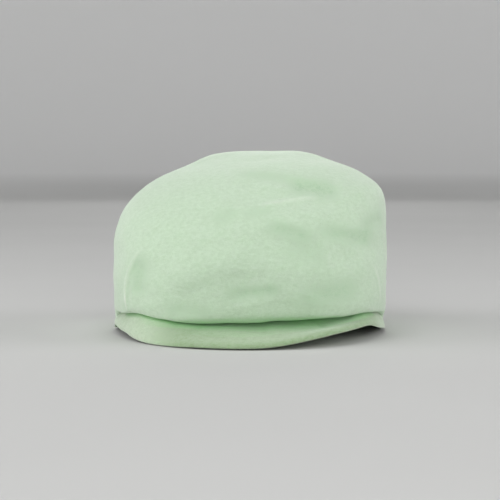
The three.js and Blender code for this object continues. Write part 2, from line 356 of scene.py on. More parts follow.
# %% Draw the folds
FOLD_COLUMNS = ("look", "from_across", "from_up", "to_across", "to_up", "reach", "rise")
FOLDS = {
    "brow_hollow": ("front", -4, 110, 54, 101, 6.5, -1.1),
    "brow_core": ("front", 20, 104.5, 64, 97.5, 7.0, -1.7),
    "brow_crest": ("front", 4, 89.5, 48, 95.5, 2.6, 1.0),
    "left_crest": ("front", -41, 66, -10, 75, 4.5, 0.9),
    "middle_hollow": ("front", 11, 79, 40, 70, 4.0, -0.9),
    "middle_crest": ("front", 22, 72, 40, 64, 2.4, 0.6),
    "right_hollow": ("front", 44, 74, 80, 67, 5.0, -1.3),
    "right_corner_hollow": ("front", 72, 75, 90, 79, 5.0, -1.3),
    "left_corner_hollow": ("front", -73, 55, -74, 29, 5.0, -1.3),
    "low_crest": ("front", -39, 31, -13, 38, 3.5, 0.7),
    "low_hollow": ("front", -16, 33, 21, 38, 3.5, -0.9),
    "lip_roll": ("front", -19, 25, 35, 32, 3.0, 0.7),
    "lip_hollow": ("front", -55, 23, -23, 21, 4.0, -0.7),
    "wrinkle": ("front", 31, 36, 50, 27, 1.8, 0.4),
    "second_wrinkle": ("front", 35, 30, 47, 25, 1.6, 0.35),
    "left_side_slack": ("left", -30, 62, 35, 72, 7.0, -0.9),
    "right_side_slack": ("right", -30, 60, 30, 70, 7.0, -0.9),
    "back_slack": ("back", -45, 92, 30, 96, 7.0, -0.9),
    "back_panel_slack": ("back", -62, 42, -25, 30, 7.0, -0.8),
    "second_back_panel_slack": ("back", 28, 28, 62, 42, 7.0, -0.8),
    "top_slack": ("top", -30, 20, 35, 35, 9.0, -0.9),
    "front_top_slack": ("top", -20, -35, 30, -25, 8.0, -0.7),
}
FOLD_FADES_OVER = 0.3
FELT_WITHIN = 3


def eased(share):
    """0 below 0, 1 above 1 and a soft step between."""
    share = np.clip(share, 0, 1)
    return share * share * (3 - 2 * share)


def bell(distance):
    """1 at no distance, and hardly anything at two."""
    return np.exp(-(distance ** 2))


def faded_ends(along):
    return eased(along / FOLD_FADES_OVER) * eased((1 - along) / FOLD_FADES_OVER)


def stroke_share(points, look, fold):
    """1 on the line of a fold, and less beside it and towards its ends."""
    ends = [(fold["from_across"], fold["from_up"]), (fold["to_across"], fold["to_up"])]
    reach = fold["reach"] * MM
    apart, along = measured_from(drawn_line(look, ends), points, FELT_WITHIN * reach)
    return faded_ends(along) * bell(apart / reach)


def fold_rise(points):
    """How far the folds lift or sink each point of a net."""
    total = np.zeros(points.shape[:2])
    for row in FOLDS.values():
        fold = dict(zip(FOLD_COLUMNS, row))
        total += fold["rise"] * MM * stroke_share(points, fold["look"], fold)
    return total


rises = {node: fold_rise(net) for node, net in fine.items()}
for node, rise in rises.items():
    print(node, "folds from", round(rise.min() / MM, 1), "to", round(rise.max() / MM, 1), "mm")

# %% [markdown]
# Cloth that nothing pulls tight is never quite even. Two sizes of smooth noise, a broad one and a finer
# one, give it that slack. A bump in the finish would do for the shading, but not for the outline. Each
# point then moves straight out from the cloth by its fold and its slack.

# %% Slacken and fold the cloth
SLACK_COLUMNS = ("size", "rise")
SLACK = ((24.0, 0.45), (9.0, 0.16))
SLACK_FLAT = 1.6


def slack(points):
    """The soft unevenness of cloth that nothing pulls tight."""
    waves = [dict(zip(SLACK_COLUMNS, row)) for row in SLACK]
    total = np.zeros(points.shape[:2])
    for place in np.ndindex(points.shape[:2]):
        x, y, z = points[place]
        spot = Vector((x, y, SLACK_FLAT * z))
        total[place] = sum(w["rise"] * MM * noise.noise(spot / (w["size"] * MM)) for w in waves)
    return total


def moved_out(net, rise):
    return net + rise[:, :, None] * net_normals(net)


folded = {node: moved_out(net, rises[node] + slack(net)) for node, net in fine.items()}
print(len(FOLDS), "fine folds")

# %% [markdown]
# Along the front the crown hangs over the peak in a soft lip. Its lower edge rolls under, so the cloth is
# drawn straight back there. The lip also waves up and down a little: left of the middle, where the crown
# is slumped to, it hangs lower, and towards both ends it rises. A row of the table gives the turn from the
# middle of the front and the wave's reach, in degrees, and how far it lifts the lip. A lattice could do
# the same, but a formula in height and turn leaves the hem exactly where it is.

# %% Roll the lip under
LIP_HEIGHT = 15.0 * MM
LIP_ROLLS_OVER = 10.0 * MM
LIP_ROLL = 2.2 * MM
WAVE_COLUMNS = ("turn", "reach", "rise")
LIP_WAVES = ((-19.0, 15.0, -1.2), (-41.0, 8.0, 1.7), (40.0, 13.0, 1.6))
HEM_WITHIN = 97.0 * MM
LIP_FULL_AT = 106.0 * MM
LIP_ENDS = 75.0
LIP_FADES_OVER = 30.0


def turn_and_radius(points):
    """How far round from the middle of the front each point lies, in degrees, and how far out."""
    return np.degrees(np.arctan2(points[..., 0], -points[..., 1])), np.hypot(points[..., 0], points[..., 1])


def rolled_lip(net):
    """A net whose lower front is drawn back under the crown and waved."""
    turn, radius = turn_and_radius(net)
    share = bell((net[..., 2] - LIP_HEIGHT) / LIP_ROLLS_OVER)
    outside = eased((radius - HEM_WITHIN) / (LIP_FULL_AT - HEM_WITHIN))
    share *= outside * eased((LIP_ENDS - np.abs(turn)) / LIP_FADES_OVER)
    out = net.copy()
    out[..., :2] *= (1 - LIP_ROLL * share / radius)[..., None]
    for row in LIP_WAVES:
        wave = dict(zip(WAVE_COLUMNS, row))
        out[..., 2] += wave["rise"] * MM * share * bell((turn - wave["turn"]) / wave["reach"])
    return out


folded["top_panel"] = rolled_lip(folded["top_panel"])
print("lip rolled under by", LIP_ROLL / MM, "mm")

# %% [markdown]
# ## Seams
# Where two panels are sewn together, the thread pulls the cloth down into a groove, and the cloth beside
# it stands up a little and puckers. The seam lines are the edges of the unrolled panels, so nothing has
# to be drawn. The groove is real relief and not a bump in the finish, because a seam also shows in the
# outline. The puckers come at a steady distance that strays a little, as they do under a sewing foot.

# %% Sew the seams
SEAM_DIP = 0.5 * MM
SEAM_SWELL = 0.35 * MM
SEAM_REACH = 2.5 * MM
SWELL_OFF = 2.4 * SEAM_REACH
SWELL_REACH = 1.6 * SEAM_REACH
PUCKER_EVERY = 8.0 * MM
PUCKER = 0.2 * MM
PUCKER_REACH = 2 * SEAM_REACH
PUCKER_STRAYS_BY = 5
PUCKER_STRAY_WAVES = 40
SEWN_WITHIN = 20 * MM

top_net = coarse["top_panel"]
back_middle = top_net.shape[1] // 2 + 1
seams = {
    "left": np.concatenate([top_net[:, 0], top_net[-1, 1:back_middle]]),
    "right": np.concatenate([top_net[:, -1], top_net[-1, -2:-back_middle - 1:-1]]),
    "back": coarse["side_panel_left"][:, 0],
}


def seam_rise(points):
    """How far the seams pull each point of a net in or push it out."""
    total = np.zeros(points.shape[:2])
    for line in seams.values():
        apart, along = measured_from(line, points, SEWN_WITHIN)
        stray = PUCKER_STRAYS_BY * np.sin(PUCKER_STRAY_WAVES * along)
        pucker = np.sin(2 * np.pi * along * line_length(line) / PUCKER_EVERY + stray)
        total -= SEAM_DIP * bell(apart / SEAM_REACH)
        total += SEAM_SWELL * bell((apart - SWELL_OFF) / SWELL_REACH)
        total += PUCKER * pucker * bell(apart / PUCKER_REACH)
    return total


sewn = {node: moved_out(net, seam_rise(net)) for node, net in folded.items()}
for name, line in seams.items():
    print("seam", name, round(line_length(line) / MM), "mm long")

# %% [markdown]
# ## Darts
# At each front corner a short dart takes in the fullness of the top panel: it shows as a thin raised line
# with a hollow on its inner side. The cloth could be cut and sewn there too, but a dart this short reads
# the same as relief in one piece. A row gives the line's corners as seen from the front, how far it rises
# and reaches, and the hollow's depth, distance and reach.

# %% Take in the darts
DART_COLUMNS = ("corners", "rise", "reach", "hollow", "hollow_off", "hollow_reach")
DARTS = {
    "left": (((-83.5, 17), (-83.3, 27), (-80.8, 43), (-74.8, 57), (-68, 65)), 0.9, 1.7, 0.6, 4.0, 3.0),
    "right": (((87.5, 20), (87.2, 30), (83.7, 46), (78, 54)), 0.4, 2.0, 0.3, 4.0, 3.0),
}
DART_STARTS_AT = 0.4
DART_GROWS_OVER = 0.4
DART_FADES_OVER = 0.35


def dart_fade(along, fades_over):
    """A dart starts below at part of its strength, grows to all of it and fades out above."""
    grown = DART_STARTS_AT + (1 - DART_STARTS_AT) * eased(along / DART_GROWS_OVER)
    return eased((1 - along) / fades_over) * grown


def dart_rise(points):
    """How far the darts lift each point of a net, or sink it in the hollow beside them."""
    total = np.zeros(points.shape[:2])
    for row in DARTS.values():
        dart = dict(zip(DART_COLUMNS, row))
        line = drawn_line("front", dart["corners"])
        apart, along = measured_from(line, points, SEWN_WITHIN)
        line_across = np.interp(points[:, :, 2], line[:, 2], line[:, 0])
        inner_side = np.abs(points[:, :, 0]) < np.abs(line_across)
        fade = dart_fade(along, DART_FADES_OVER)
        total += dart["rise"] * MM * fade * bell(apart / (dart["reach"] * MM))
        beside = bell((apart - dart["hollow_off"] * MM) / (dart["hollow_reach"] * MM))
        total -= dart["hollow"] * MM * fade * inner_side * beside
    return total


sewn["top_panel"] = moved_out(sewn["top_panel"], dart_rise(sewn["top_panel"]))
for name, row in DARTS.items():
    print("dart", name, round(line_length(drawn_line("front", row[0])) / MM), "mm long")

# %% [markdown]
# ## Cloth with a thickness
# Each net becomes a closed piece of cloth: the outer face, an inner face one thickness deeper, and a
# half-round edge between them. A Solidify modifier would leave square rims with a wide slit between the
# panels. Here the two round edges at a seam reach out towards each other. They don't meet everywhere: slits
# of some tenths of a millimetre are left, and a hole of about 1 mm where the back seam meets the top panel.
# The free hem keeps its height, because the cap stands on it.

# %% Make the panels
SEAM_OVERLAP = 0.25 * MM
EDGE_TURNS = [math.radians(a) for a in (45, 90, 135)]


def nearest_on(line, points):
    """The point of a line that is nearest to each given point."""
    start, leg = line[:-1], np.diff(line, axis=0)
    away = points[:, None] - start[None]
    along = np.clip((away * leg).sum(2) / np.maximum((leg * leg).sum(1), WELD ** 2), 0, 1)
    spots = start[None] + along[:, :, None] * leg[None]
    best = np.linalg.norm(points[:, None] - spots, axis=2).argmin(axis=1)
    return spots[np.arange(len(points)), best]


def edge_ring(rows, columns):
    """The row and the column of every point round the edge of a net, in one turn."""
    ring = [(0, c) for c in range(columns)] + [(r, columns - 1) for r in range(1, rows)]
    ring += [(rows - 1, c) for c in range(columns - 2, -1, -1)] + [(r, 0) for r in range(rows - 2, 0, -1)]
    return np.array(ring).T


def round_edge(net, r, c, upper, lower):
    """The loops of points between the upper and the lower face; the hem is row 0, the rest is sewn."""
    middle = (upper + lower) / 2
    sewn_here = (r > 0)[:, None]
    seam_edge = np.concatenate([net[:, 0], net[-1, 1:-1], net[::-1, -1]])
    reach = np.where(sewn_here, nearest_on(seam_edge, upper), net[0, c + 1]) - upper
    longer = np.where(sewn_here, SEAM_OVERLAP, 0.0)
    reach = reach + longer * reach / np.linalg.norm(reach, axis=1, keepdims=True)
    return [middle + (upper - middle) * math.cos(a) + reach * math.sin(a) for a in EDGE_TURNS]


def placed(name, data):
    """A new object in the scene for a mesh, a light or a camera."""
    thing = bpy.data.objects.new(name, data)
    bpy.context.scene.collection.objects.link(thing)
    return thing


def cloth_piece(name, net):
    """A closed piece of cloth from a net whose outermost row is the tip of its edges."""
    outer = net[1:-1, 1:-1]
    inner = outer - CLOTH * net_normals(net)[1:-1, 1:-1]
    rows, columns = outer.shape[:2]
    r, c = edge_ring(rows, columns)
    loops = round_edge(net, r, c, outer[r, c], inner[r, c])
    points = np.concatenate([outer.reshape(-1, 3), inner.reshape(-1, 3)] + loops)
    count, around = rows * columns, len(r)
    quads = net_quads(rows, columns)
    faces = [quads, quads[:, ::-1] + count]
    edge = r * columns + c
    layers = [edge] + [2 * count + k * around + np.arange(around) for k in range(len(loops))]
    layers.append(edge + count)
    for upper, lower in zip(layers[:-1], layers[1:]):
        faces.append(np.stack([upper, lower, np.roll(lower, -1), np.roll(upper, -1)], -1))
    mesh = bpy.data.meshes.new(name)
    mesh.from_pydata(points.tolist(), [], np.concatenate(faces).tolist())
    mesh.shade_smooth()
    print(name, "has", len(mesh.polygons), "faces")
    return placed(name, mesh)


panels = {node: cloth_piece(PANELS[node], net) for node, net in sewn.items()}

# %% [markdown]
# ## The peak
# The peak is a stiff board with cloth drawn tightly round it, so it needs no folds, only soft edges. It
# could be drawn again from its outline, but its solid has that outline already. So the solid is copied,
# its triangles are joined back into four-sided faces, and subdivision rounds it.

# %% Round the peak
PEAK_ROUNDS = 3


def rounded_copy(node, name):
    """A copy of a solid in four-sided faces, rounded by subdivision."""
    board = welded(node)
    bmesh.ops.join_triangles(
        board, faces=board.faces, angle_face_threshold=math.pi, angle_shape_threshold=math.pi
    )
    mesh = bpy.data.meshes.new(name)
    board.to_mesh(mesh)
    board.free()
    piece = placed(name, mesh)
    finer = piece.modifiers.new("finer", "SUBSURF")
    finer.levels = PEAK_ROUNDS
    finer.render_levels = PEAK_ROUNDS
    smooth = bpy.data.meshes.new_from_object(piece.evaluated_get(bpy.context.evaluated_depsgraph_get()))
    piece.modifiers.clear()
    piece.data = smooth
    smooth.name = name
    smooth.shade_smooth()
    print(name, "has", len(smooth.polygons), "faces")
    return piece


peak = rounded_copy("peak", "peak_board")

# %% [markdown]
# At both ends the peak runs out along the hem. Its rim bends down there towards the surface that the cap
# stands on, while its sewn edge stays at the hem. A bend modifier would turn both ends alike, and they
# differ. So a table for each side says how many millimetres the rim goes down at each turn, in degrees from
# the middle of the front. The ends also reach a few degrees further round and a little out, so that their
# rim lies over the side panels. Their inner part cuts through the panels there, which shows from below.
# Every point keeps a share of its height, so the board stays above that surface and stays closed.

# %% Bend the ends of the peak down
LEFT = -1
RIGHT = 1
END_STARTS = 48.0
END_LENGTH = 28.0
END_FURTHER = {LEFT: 8.5, RIGHT: 9.0}
END_OUT = {LEFT: 0.2 * MM, RIGHT: 0.6 * MM}
RIM_DROP = {
    LEFT: (
        (15, 0.0), (23, 0.7), (32, 2.0), (38, 2.9), (47, 3.3),
        (56, 5.0), (62, 5.5), (70, 5.0), (76, 5.0),
    ),
    RIGHT: (
        (25, 0.0), (33, 0.8), (40, 2.0), (47, 3.3), (52, 4.6),
        (58, 6.0), (64, 7.6), (70, 8.5), (76, 8.5),
    ),
}
KEPT_HEIGHT = 0.25
SEWN_RADIUS = 93.0 * MM
NARROWEST = 1.5 * MM
RIM_ENDS = 80.0
RIM_STEP = 2.0


def points_of(mesh):
    """A mesh's points as an array with one row each."""
    flat = np.empty(3 * len(mesh.vertices))
    mesh.vertices.foreach_get("co", flat)
    return flat.reshape(-1, 3)


def set_points(mesh, points):
    mesh.vertices.foreach_set("co", points.astype(np.float32).ravel())
    mesh.update()


def rim_share(turn, radius):
    """0 at the sewn edge of the peak and 1 at its rim."""
    at = np.arange(-RIM_ENDS, RIM_ENDS + 1, RIM_STEP)
    rim = np.array([radius[np.abs(turn - a) < RIM_STEP].max(initial=SEWN_RADIUS) for a in at])
    return (radius - SEWN_RADIUS) / np.maximum(np.interp(turn, at, rim) - SEWN_RADIUS, NARROWEST)


def bent_ends(points):
    """The points of the peak with both of its ends bent down, further round and out."""
    turn, radius = turn_and_radius(points)
    z = points[:, 2].copy()
    further, out = turn.copy(), radius.copy()
    for side in RIM_DROP:
        at, drop = np.array(RIM_DROP[side]).T
        end = eased((side * turn - END_STARTS) / END_LENGTH)
        further += side * END_FURTHER[side] * end
        out += END_OUT[side] * end
        z -= np.interp(side * turn, at, drop) * MM * eased(rim_share(turn, radius))
    further = np.radians(further)
    z = np.maximum(z, KEPT_HEIGHT * points[:, 2])
    return np.stack([out * np.sin(further), -out * np.cos(further), z], 1)


set_points(peak.data, bent_ends(points_of(peak.data)))
peak_across = points_of(peak.data)[:, 0] / MM
print("peak reaches from", round(peak_across.min(), 1), "to", round(peak_across.max(), 1), "mm")

# %% [markdown]
# In the middle and to the right the lip of the crown stands off from the peak and leaves a dark crease.
# Towards both ends it lies on the peak. The gap could be set by eye, point by point. Here a table says how
# many millimetres wide the crease is at each turn, straight rays from the peak's upper face tell how wide
# it is so far, and the board is bent up or down by the rest. A second round takes up what the first left.

# %% Set the width of the crease
CREASE = (
    (-60, 0.1), (-40, 0.1), (-30, 0.4), (-20, 1.0), (-10, 2.6), (0, 3.6),
    (12, 4.8), (24, 5.4), (34, 3.6), (44, 1.1), (52, 0.1), (60, 0.1),
)
CREASE_ENDS = 60.0
TURN_STEP = 4.0
WIDEST_CREASE = 10.0 * MM
LIP_BELOW = 28.0 * MM
UNDER_LIP = 12.0 * MM
FACING_UP = 0.3
RAY_EVERY = 2
BEND_OVER = 14.0 * MM
BEND_ENDS = 66.0
BEND_FADES_OVER = 8.0
RIM_STAYS_OVER = 0.5
BEND_ROUNDS = 2

top_tree = net_tree([sewn["top_panel"]])
crown_points = sewn["top_panel"].reshape(-1, 3)
crown_turn, crown_radius = turn_and_radius(crown_points)
on_lip = crown_points[:, 2] < LIP_BELOW


def normals_of(mesh):
    """The directions that a mesh's points face, as an array with one row each."""
    flat = np.empty(3 * len(mesh.vertices))
    mesh.vertices.foreach_get("normal", flat)
    return flat.reshape(-1, 3)


def crease_gap(mesh):
    """Turns, the narrowest gap between the peak and the crown at each, and how far out the lip is."""
    points, upward = points_of(mesh), normals_of(mesh)[:, 2] > FACING_UP
    turn, radius = turn_and_radius(points)
    rows = []
    for at in np.arange(-CREASE_ENDS, CREASE_ENDS + 1, TURN_STEP):
        lip = crown_radius[on_lip & (np.abs(crown_turn - at) < TURN_STEP)].max()
        under = (np.abs(turn - at) < TURN_STEP / 2) & (radius > lip - UNDER_LIP) & upward
        gaps = [top_tree.ray_cast(Vector(p), Vector((0, 0, 1)))[3] for p in points[under][::RAY_EVERY]]
        rows.append((at, min(gap for gap in gaps if gap and gap < WIDEST_CREASE), lip))
    return np.array(rows).T


def bent_to_lip(mesh):
    """The points of the peak, bent so that the crease gets the width in the table."""
    at, gap, lip = crease_gap(mesh)
    points = points_of(mesh)
    turn, radius = turn_and_radius(points)
    bend = np.interp(turn, at, gap) - np.interp(turn, *np.array(CREASE).T) * MM
    lip_here = np.interp(turn, at, lip)
    share = eased((radius - lip_here + UNDER_LIP + BEND_OVER) / BEND_OVER)
    rim_stays = eased((1 - rim_share(turn, radius)) / RIM_STAYS_OVER)
    share *= eased((lip_here + BEND_OVER - radius) / BEND_OVER) * rim_stays
    share *= eased((BEND_ENDS - np.abs(turn)) / BEND_FADES_OVER)
    points[:, 2] += bend * share
    return points


def print_crease(mesh):
    at, gap, _ = crease_gap(mesh)
    print("crease in mm:", {int(a): round(g / MM, 1) for a, g in zip(at[::2], gap[::2])})


print_crease(peak.data)
for _ in range(BEND_ROUNDS):
    set_points(peak.data, bent_to_lip(peak.data))
    print_crease(peak.data)

# %% [markdown]
# ## Painted shade in the crease
# In the crease between crown and peak hardly any light arrives, and what does has bounced from cloth to
# cloth, so the green looks deep there. A render would need many bounces to find that by itself, so the
# shade is painted instead. Here it is measured: shelter is the share of rays from a point that soon meet
# the cap again. It is written on the points of the pieces as a mark, and the cloth's finish paints a deeper
# green by it: painted shade, which stays in place from every side.

# %% Measure the shelter
SHELTER_RAYS = 24
SHELTER_WITHIN = 40.0 * MM
RAY_STARTS_OFF = 0.4 * MM
FLATTEST_RAY = 0.1
SHELTER_BELOW = 26.0 * MM
LIP_OUTSIDE = 96.0 * MM
UPPER_FACE = 0.2
SHELTER_FROM = {"top_panel": 0.45, "peak": 0.25}
SHELTER_TO = 0.92
SHELTER_ENDS = 64.0
SHELTER_FADES_OVER = 12.0


def ray_directions(count):
    """Directions spread evenly over a ball."""
    k = np.arange(count) + 0.5
    up = 1 - 2 * k / count
    turn = math.pi * (1 + math.sqrt(5)) * k
    flat = np.sqrt(1 - up * up)
    return np.stack([flat * np.cos(turn), flat * np.sin(turn), up], 1)


def near_crease(node, mesh):
    """Which points of a piece may be sheltered: low ones in front, under the lip or on the peak."""
    points = points_of(mesh)
    chosen = (points[:, 2] < SHELTER_BELOW) & (points[:, 1] < 0)
    if node == "peak":
        return chosen & (normals_of(mesh)[:, 2] > UPPER_FACE)
    if node == "top_panel":
        return chosen & (turn_and_radius(points)[1] > LIP_OUTSIDE)
    return np.zeros(len(points), bool)


def sheltered(mesh, tree, chosen):
    """The share of rays from each chosen point that meet the cap again."""
    points, out = points_of(mesh), normals_of(mesh)
    rays = ray_directions(SHELTER_RAYS)
    share = np.zeros(len(points))
    for i in np.flatnonzero(chosen):
        start = Vector(points[i] + RAY_STARTS_OFF * out[i])
        seen = [(Vector(ray), ray @ out[i]) for ray in rays if ray @ out[i] > FLATTEST_RAY]
        met = sum(weight for ray, weight in seen if tree.ray_cast(start, ray, SHELTER_WITHIN)[0])
        share[i] = met / sum(weight for _, weight in seen)
    return share


def mark(mesh, name, values):
    """Writes one number on each point of a mesh, for the finish to read."""
    mesh.attributes.new(name, "FLOAT", "POINT").data.foreach_set("value", values.astype(np.float32))


pieces = {**panels, "peak": peak}
front_meshes = (panels["top_panel"].data, peak.data)
front_tree = tree_of((points_of(m), [tuple(face.vertices) for face in m.polygons]) for m in front_meshes)
for node, piece in pieces.items():
    chosen = near_crease(node, piece.data)
    shelter = sheltered(piece.data, front_tree, chosen)
    turn = turn_and_radius(points_of(piece.data))[0]
    shelter *= eased((SHELTER_ENDS - np.abs(turn)) / SHELTER_FADES_OVER)
    least = SHELTER_FROM.get(node, 0.0)
    # the sheltered mark is painted shade in the crease
    mark(piece.data, "sheltered", np.clip((shelter - least) / (SHELTER_TO - least), 0, 1))
    print(node, "has", int((shelter > least).sum()), "sheltered points")

# %% [markdown]
# ## Painted shade in the hollows
# In the hollows of the front a deeper tint is painted on the cloth: painted shade, deeper than the low
# folds cast by themselves. On the peak it is painted on all but the two ends, as painted shade. It could
# be painted as a picture, but strokes written as lines stay sharp at any size. A row gives a stroke's two
# ends as seen from the front, how far it reaches and how deep it goes.

# %% Paint shade in the hollows and on the peak
HOLLOW_SHADE_COLUMNS = ("from_across", "from_up", "to_across", "to_up", "reach", "depth")
# painted shade in the hollows of the front, one stroke a row
HOLLOW_SHADE = {
    "brow": (-13, 111.5, 36, 106, 7.0, 0.3),
    "brow_end": (22, 104.5, 63, 98.5, 9.0, 0.8),
    "under_brow": (-7, 84, 17, 88, 5.0, 0.25),
    "left_of_middle": (-26, 78, -7, 89, 6.0, 0.25),
    "middle": (6, 80, 45, 68, 5.0, 0.45),
    "right": (38, 76, 86, 66, 6.0, 0.5),
    "right_corner": (70, 72, 93, 82, 7.0, 0.4),
    "left_corner": (-73, 61, -74, 27, 7.5, 0.5),
    "right_of_middle": (16, 62, 54, 57, 9.0, 0.2),
    "low": (-21, 32.5, 26, 38.5, 3.6, 0.5),
    "low_right": (24, 30, 76, 37, 8.0, 0.45),
    "lip_left": (-60, 23, -19, 21, 5.0, 0.3),
}
# painted shade on the peak
PEAK_SHADE_FROM = -36.0
PEAK_SHADE_TO = 64.0
PEAK_SHADE_OVER = 18.0
PEAK_SHADE = 0.65


def crown_painted_shade(points):
    """How deep the painted shade is at each point, along the hollows of the front."""
    depth = np.zeros(len(points))
    for row in HOLLOW_SHADE.values():
        stroke = dict(zip(HOLLOW_SHADE_COLUMNS, row))
        depth += stroke["depth"] * stroke_share(points[None], "front", stroke)[0]
    return np.minimum(depth, 1)


def peak_painted_shade(points):
    """Painted shade on the peak, on all of it but its two ends."""
    turn = turn_and_radius(points)[0]
    from_left = eased((turn - PEAK_SHADE_FROM) / PEAK_SHADE_OVER)
    return PEAK_SHADE * from_left * eased((PEAK_SHADE_TO - turn) / PEAK_SHADE_OVER)


def unmarked(points):
    return np.zeros(len(points))


strokes = {"top_panel": crown_painted_shade, "peak": peak_painted_shade}
for node, piece in pieces.items():
    # painted shade, written as a mark on the points
    mark(piece.data, "painted_shade", strokes.get(node, unmarked)(points_of(piece.data)))
print(len(HOLLOW_SHADE), "strokes on the crown and one on the peak")

# %% [markdown]
# ## Painted highlights
# Along the darts and one crest below the brow the cloth is painted pale: a painted highlight where these
# ridges stand out into the light. A pale line could follow the curvature of the mesh, but then every fold
# would have one. The darts' own lines are used again, and the crest gets a line of its own.

# %% Paint highlights on the darts and the crest
PALE_REACH = 1.1 * MM
PALE_FADES_OVER = 0.4
PALE_WITHIN = 10.0 * MM
HIGHLIGHT_CREST = ((4, 89.5), (25, 92.5), (48, 95.5))
CREST_REACH = 2.0 * MM
CREST_PALE = 0.3


def highlighted_lines(points):
    """How much painted highlight each point gets, along the crest and along the darts."""
    apart, along = measured_from(drawn_line("front", HIGHLIGHT_CREST), points[None], PALE_WITHIN)
    highlighted = CREST_PALE * (faded_ends(along) * bell(apart / CREST_REACH))[0]
    for row in DARTS.values():
        dart = dict(zip(DART_COLUMNS, row))
        apart, along = measured_from(drawn_line("front", dart["corners"]), points[None], PALE_WITHIN)
        highlighted += dart["rise"] * (dart_fade(along, PALE_FADES_OVER) * bell(apart / PALE_REACH))[0]
    return highlighted


painted_highlights = {"top_panel": highlighted_lines}
for node, piece in pieces.items():
    # painted highlight, written as a mark on the points
    mark(piece.data, "pale", painted_highlights.get(node, unmarked)(points_of(piece.data)))
print(len(DARTS) + 1, "lines rubbed pale")

# %% [markdown]
# ## Brushed cloth
# The cloth is cotton with a brushed face: short fibres stand up in a nap that hides the weave. Real hairs
# would be far too many to draw, so the nap is noise, in tufts and in single fibres, drawn out a little
# along the way it was brushed. The same noise steers colour, roughness and bump. Where a mark paints shade
# or highlight on the cloth, the tint can follow the tufts too, so that the painted stroke is broken by the
# nap.

# %% Mix the nap and its tints
TUFT_SCALE = 320
FIBRE_SCALE = 1300
GRAIN_DETAIL = 3
TUFT_TO_FIBRE = 0.5
BRUSHED_OUT = (1.0, 1.0, 1.7)
NAP_LOW = 0.38
NAP_HIGH = 0.62
COLOUR_A = 6
COLOUR_B = 7
COLOUR_RESULT = 2


def nap_grain(nodes, links):
    """Noise in tufts and fibres, half of each."""
    place = nodes.new("ShaderNodeTexCoord")
    lay = nodes.new("ShaderNodeMapping")
    lay.inputs["Scale"].default_value = BRUSHED_OUT
    links.new(place.outputs["Object"], lay.inputs["Vector"])
    nap = nodes.new("ShaderNodeMix")
    nap.inputs["Factor"].default_value = TUFT_TO_FIBRE
    for side, scale in {"A": TUFT_SCALE, "B": FIBRE_SCALE}.items():
        grain = nodes.new("ShaderNodeTexNoise")
        grain.inputs["Scale"].default_value = scale
        grain.inputs["Detail"].default_value = GRAIN_DETAIL
        links.new(lay.outputs["Vector"], grain.inputs["Vector"])
        links.new(grain.outputs["Fac"], nap.inputs[side])
    return nap.outputs["Result"]


def marked(nodes, name):
    """The numbers that were written on the points under a name."""
    marks = nodes.new("ShaderNodeAttribute")
    marks.attribute_name = name
    return marks.outputs["Fac"]


def tufted(nodes, links, share, nap, evenly):
    """A mark's share that follows the tufts: not at all where evenly is 1, and wholly where it is 0."""
    tufts = nodes.new("ShaderNodeMapRange")
    tufts.inputs["From Min"].default_value = NAP_LOW
    tufts.inputs["From Max"].default_value = NAP_HIGH
    tufts.inputs["To Min"].default_value = evenly
    tufts.inputs["To Max"].default_value = 2 - evenly
    links.new(nap, tufts.inputs["Value"])
    product = nodes.new("ShaderNodeMath")
    product.operation = "MULTIPLY"
    links.new(share, product.inputs[0])
    links.new(tufts.outputs["Result"], product.inputs[1])
    return product.outputs["Value"]


def tinted(nodes, links, colour, share, tint):
    """A colour that turns into a tint by a share; a Mix node's colour sockets go by number."""
    mix = nodes.new("ShaderNodeMix")
    mix.data_type = "RGBA"
    links.new(share, mix.inputs["Factor"])
    links.new(colour, mix.inputs[COLOUR_A])
    mix.inputs[COLOUR_B].default_value = (*tint, 1)
    return mix.outputs[COLOUR_RESULT]


print("tufts of", round(1 / TUFT_SCALE / MM, 1), "mm, fibres of", round(1 / FIBRE_SCALE / MM, 1), "mm")

# %% [markdown]
# Seen straight on the cloth is a soft mint green. In the crease and the hollows the finish paints it deeper
# and greener, as painted shade, and on the darts and one crest paler, as painted highlight. At a glancing
# angle the fibre tips catch the light and it goes pale: that is the shader's sheen, and a little light goes
# under the surface, as it does in soft cloth. A plain matte colour would look like painted plaster. The
# peak's cloth is the same but for its tones, which are darker: painted shade for the shade it lies in.

# %% Finish the cloth
CLOTH_FINISH = {
    "Specular IOR Level": 0.1,
    "Subsurface Weight": 0.3,
    "Subsurface Radius": (0.7, 1.0, 0.65),
    "Subsurface Scale": 3.0 * MM,
    "Sheen Weight": 0.5,
    "Sheen Roughness": 0.5,
    "Sheen Tint": (0.94, 1.0, 0.93, 1),
}
TONES_BETWEEN = (0.3, 0.7)
SMOOTHEST = 0.85
ROUGHEST = 1.0
NAP_BUMP = 0.5
NAP_HEIGHT = 0.5 * MM
# painted shade in the crease: the deep green mixed in by the sheltered mark
PAINTED_CREASE_SHADE = (0.335, 0.635, 0.29)
# painted highlight on the darts and the crest, mixed in by the pale mark
PAINTED_HIGHLIGHT = (0.78, 0.84, 0.74)
# the back column is the colour of the painted shade in the hollows and on the peak
CLOTH_COLUMNS = ("pale", "deep", "back", "evenly")
CLOTHS = {
    "brushed_cloth": ((0.578, 0.712, 0.554), (0.454, 0.591, 0.423), (0.39, 0.55, 0.37), 0.2),
    # the peak's tones are darker than the crown's: painted shade for the shade the peak lies in
    "peak_cloth": ((0.545, 0.657, 0.493), (0.405, 0.511, 0.357), (0.225, 0.338, 0.17), 0.65),
}


